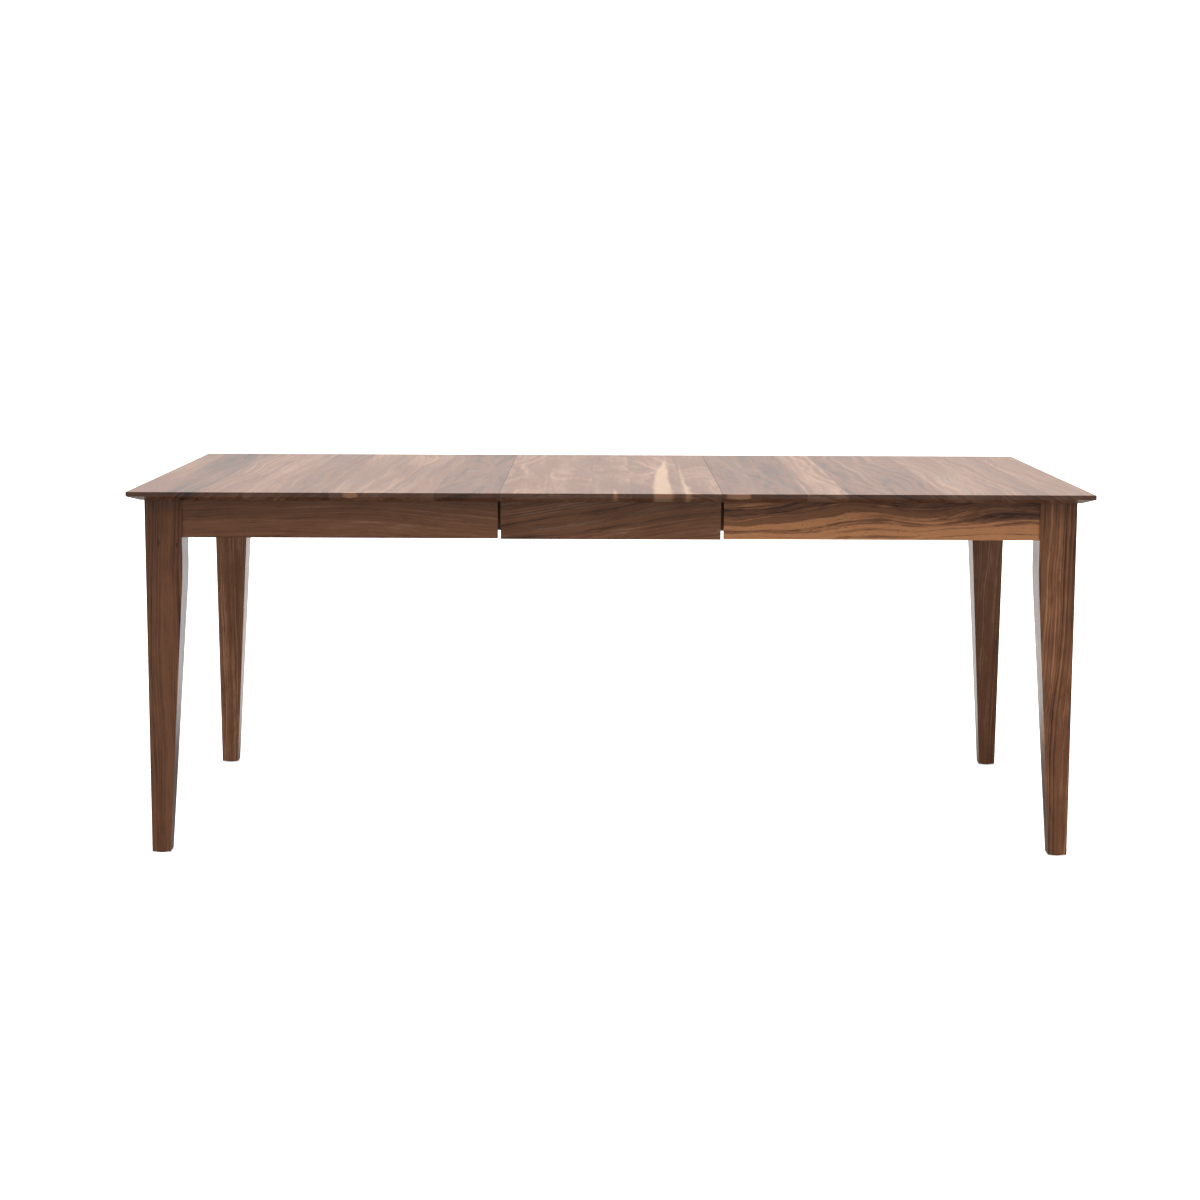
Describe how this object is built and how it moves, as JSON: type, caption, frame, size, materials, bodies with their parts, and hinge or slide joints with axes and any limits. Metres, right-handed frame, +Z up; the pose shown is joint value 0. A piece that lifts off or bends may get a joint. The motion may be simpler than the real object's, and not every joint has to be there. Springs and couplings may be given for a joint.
{
  "type": "extending dining table",
  "caption": "Rectangular walnut dining table with tapered legs that slides apart on geared rails and is shown with its removable leaf in place.",
  "frame": {"origin": "on the floor at the middle of the table", "axes": "+X along the table's length to the right, +Y to the rear, +Z up"},
  "size_m": [1.9812, 1.016, 0.762],
  "materials": {
    "walnut": "satin oil",
    "rail_maple": "sealed",
    "zinc_steel": "zinc plated",
    "plated_steel": "yellow plated",
    "brass": "bright",
    "nylon": "natural",
    "dark_nylon": "moulded"
  },
  "bodies": {
    "leaf_and_centre_rails": {"front_centre_rail": "rail_maple", "front_guides": "zinc_steel", "front_leaf_apron": "walnut", "leaf_alignment_pins": "brass", "leaf_glue_blocks": "rail_maple", "leaf_lock_keepers": "plated_steel", "leaf_lock_plates": "plated_steel", "leaf_pin_sockets": "brass", "leaf_small_screws": "zinc_steel", "leaf_top": "walnut", "pinion_axles": "zinc_steel", "rear_centre_rail": "rail_maple", "rear_guides": "zinc_steel", "rear_leaf_apron": "walnut"},
    "left_half": {"front_left_apron": "walnut", "front_left_leg": "walnut", "front_left_rack": "zinc_steel", "front_left_rail": "rail_maple", "left_alignment_pins": "brass", "left_bolt_nuts": "zinc_steel", "left_corner_blocks": "rail_maple", "left_end_apron": "walnut", "left_glides": "dark_nylon", "left_hanger_bolts": "zinc_steel", "left_lock_plates": "plated_steel", "left_rail_screws": "zinc_steel", "left_slide_stops": "zinc_steel", "left_small_screws": "zinc_steel", "left_top": "walnut", "left_top_clips": "plated_steel", "rear_left_apron": "walnut", "rear_left_leg": "walnut", "rear_left_rack": "zinc_steel", "rear_left_rail": "rail_maple"},
    "right_half": {"front_right_apron": "walnut", "front_right_leg": "walnut", "front_right_rack": "zinc_steel", "front_right_rail": "rail_maple", "rear_right_apron": "walnut", "rear_right_leg": "walnut", "rear_right_rack": "zinc_steel", "rear_right_rail": "rail_maple", "right_bolt_nuts": "zinc_steel", "right_corner_blocks": "rail_maple", "right_end_apron": "walnut", "right_glides": "dark_nylon", "right_hanger_bolts": "zinc_steel", "right_lock_keepers": "plated_steel", "right_pin_sockets": "brass", "right_rail_screws": "zinc_steel", "right_slide_stops": "zinc_steel", "right_small_screws": "zinc_steel", "right_top": "walnut", "right_top_clips": "plated_steel"},
    "front_pinion_gear": {"front_pinion": "nylon"},
    "rear_pinion_gear": {"rear_pinion": "nylon"},
    "front_left_lock_lever_body": {"front_left_lock_lever": "plated_steel"},
    "rear_left_lock_lever_body": {"rear_left_lock_lever": "plated_steel"},
    "front_leaf_lock_lever_body": {"front_leaf_lock_lever": "plated_steel"},
    "rear_leaf_lock_lever_body": {"rear_leaf_lock_lever": "plated_steel"}
  },
  "joints": [
    {"name": "left_half_slide", "type": "slide", "parent": "leaf_and_centre_rails", "child": "left_half", "axis": [-1, 0, 0], "range_m": [0, 0.0508]},
    {"name": "right_half_slide", "type": "slide", "parent": "leaf_and_centre_rails", "child": "right_half", "axis": [1, 0, 0], "range_m": [0, 0.0508]},
    {"name": "front_pinion_turn", "type": "hinge", "parent": "leaf_and_centre_rails", "child": "front_pinion_gear", "pos_m": [0, -0.35025, 0], "axis": [0, 0, 1], "range_deg": [-162, 0]},
    {"name": "rear_pinion_turn", "type": "hinge", "parent": "leaf_and_centre_rails", "child": "rear_pinion_gear", "pos_m": [0, 0.35025, 0], "axis": [0, 0, 1], "range_deg": [0, 162]},
    {"name": "front_left_lock_lever_turn", "type": "hinge", "parent": "left_half", "child": "front_left_lock_lever_body", "pos_m": [-0.2526, -0.165, 0], "axis": [0, 0, 1], "range_deg": [0, 90]},
    {"name": "rear_left_lock_lever_turn", "type": "hinge", "parent": "left_half", "child": "rear_left_lock_lever_body", "pos_m": [-0.2526, 0.165, 0], "axis": [0, 0, -1], "range_deg": [0, 90]},
    {"name": "front_leaf_lock_lever_turn", "type": "hinge", "parent": "leaf_and_centre_rails", "child": "front_leaf_lock_lever_body", "pos_m": [0.2046, -0.165, 0], "axis": [0, 0, 1], "range_deg": [0, 90]},
    {"name": "rear_leaf_lock_lever_turn", "type": "hinge", "parent": "leaf_and_centre_rails", "child": "rear_leaf_lock_lever_body", "pos_m": [0.2046, 0.165, 0], "axis": [0, 0, -1], "range_deg": [0, 90]}
  ],
  "couplings": [
    {"joint": "right_half_slide", "follows": "left_half_slide", "ratio": 1},
    {"joint": "front_pinion_turn", "follows": "left_half_slide", "rad_per_m": -55.556},
    {"joint": "rear_pinion_turn", "follows": "left_half_slide", "rad_per_m": 55.556}
  ]
}
